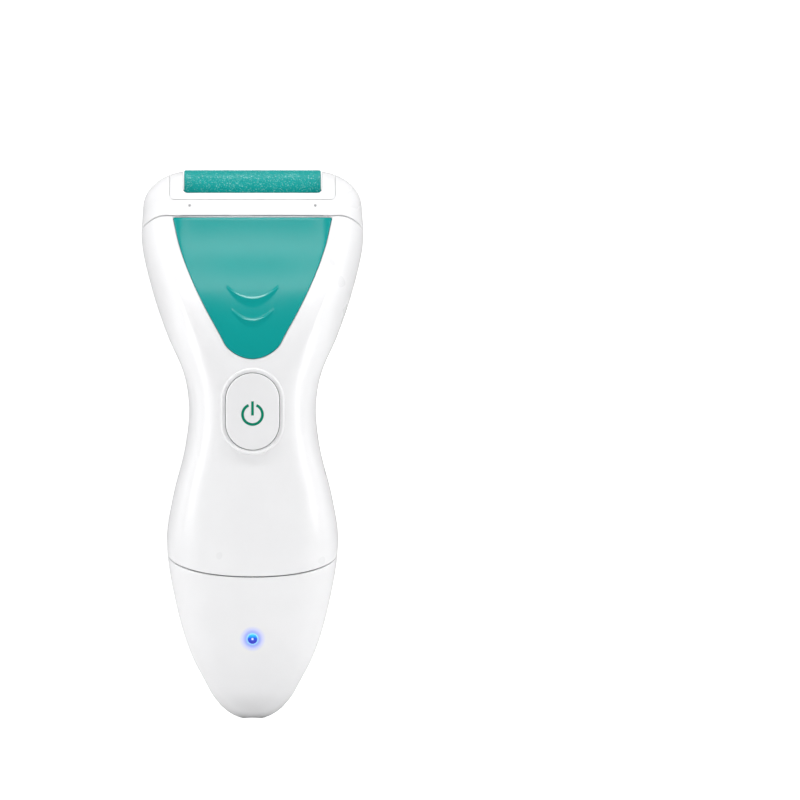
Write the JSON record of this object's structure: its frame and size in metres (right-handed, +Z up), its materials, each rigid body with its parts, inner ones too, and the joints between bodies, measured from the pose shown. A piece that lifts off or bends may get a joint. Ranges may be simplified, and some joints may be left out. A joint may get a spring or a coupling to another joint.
{
  "type": "electric callus remover",
  "caption": "Hand-held electric foot file with a curved waisted handle, a lift-off abrasive roller cassette in a wide head, an inlaid front panel, a push button and an indicator lamp.",
  "frame": {"origin": "centre of the underside of the object's box, just behind the tip of the handle", "axes": "+Z up from the tip of the handle to the roller, -Y towards the button, +X across the roller to the geared end"},
  "size_m": [0.0682, 0.0521, 0.168],
  "materials": {
    "white_shell": "satin gloss white moulded plastic",
    "button_plastic": "satin white moulded plastic",
    "teal_panel": "glossy teal moulded plastic",
    "green_ink": "green inlay",
    "lens_blue": "clear blue lens",
    "abrasive": "teal bonded mineral grit",
    "seal_rubber": "grey seal",
    "black_plastic": "black moulded plastic",
    "magnet": "dark sintered magnet and spring steel",
    "board_green": "green circuit board",
    "steel": "bright steel",
    "inner_plastic": "pale grey moulded plastic",
    "gear_plastic": "natural acetal",
    "brass_parts": "brass",
    "copper_parts": "copper winding",
    "cell_wrap": "plain blue shrink wrap",
    "led_clear": "clear lamp body",
    "red_lead": "red insulated wire",
    "black_lead": "black insulated wire"
  },
  "bodies": {
    "handle": {"main_housing": "white_shell", "head_shell": "white_shell", "end_cap": "white_shell", "button_bezel": "white_shell", "front_panel": "teal_panel", "led_lens": "lens_blue", "head_gasket": "seal_rubber", "cap_gasket": "seal_rubber", "tact_switch": "black_plastic", "dc_jack": "black_plastic", "board_components": "black_plastic", "motor_magnets": "magnet", "pin_clips": "magnet", "main_board": "board_green", "charge_board": "board_green", "board_screws": "steel", "well_screws": "steel", "body_screws": "steel", "motor_screws": "steel", "catch_springs": "steel", "idler_pin": "steel", "compound_pin": "steel", "motor_can": "steel", "cell_link": "steel", "cell_tab_plus": "steel", "cell_tab_minus": "steel", "chassis": "inner_plastic", "cassette_well": "inner_plastic", "gear_plate": "inner_plastic", "motor_end_bell": "inner_plastic", "jack_pin": "brass_parts", "battery_cell_left": "cell_wrap", "battery_cell_right": "cell_wrap", "status_led": "led_clear", "motor_lead_red": "red_lead", "charge_lead_red": "red_lead", "motor_lead_black": "black_lead", "charge_lead_black": "black_lead"},
    "cassette": {"roller_cradle": "white_shell", "bush_left": "brass_parts", "bush_right": "brass_parts"},
    "roller": {"roller_axle": "steel", "roller_core": "inner_plastic", "roller_sleeve": "abrasive", "roller_gear": "gear_plastic"},
    "button": {"power_button": "button_plastic", "power_symbol": "green_ink", "switch_stem": "black_plastic"},
    "idler": {"idler_gear": "gear_plastic"},
    "compound": {"compound_gear": "gear_plastic"},
    "rotor": {"motor_pinion": "brass_parts", "motor_shaft": "steel", "motor_armature": "copper_parts"}
  },
  "joints": [
    {"name": "cassette_lift", "type": "slide", "parent": "handle", "child": "cassette", "axis": [0, 0, 1], "range_m": [0, 0.024]},
    {"name": "roller_spin", "type": "hinge", "parent": "cassette", "child": "roller", "pos_m": [0, 0.01023, 0.1605], "axis": [1, 0, 0], "continuous": true},
    {"name": "idler_spin", "type": "hinge", "parent": "handle", "child": "idler", "pos_m": [0.0227, 0.00712, 0.14803], "axis": [1, 0, 0], "continuous": true},
    {"name": "compound_spin", "type": "hinge", "parent": "handle", "child": "compound", "pos_m": [0.019, 0.00041, 0.13707], "axis": [1, 0, 0], "continuous": true},
    {"name": "motor_spin", "type": "hinge", "parent": "handle", "child": "rotor", "pos_m": [0, -0.00317, 0.1239], "axis": [1, 0, 0], "continuous": true},
    {"name": "power_press", "type": "slide", "parent": "handle", "child": "button", "axis": [0, 1, 0], "range_m": [0, 0.0008], "stiffness_N_per_m": 1500, "springref_m": -0.0006}
  ],
  "couplings": [
    {"joint": "idler_spin", "follows": "roller_spin", "ratio": -0.6},
    {"joint": "compound_spin", "follows": "roller_spin", "ratio": 1},
    {"joint": "motor_spin", "follows": "roller_spin", "ratio": -2.4}
  ]
}
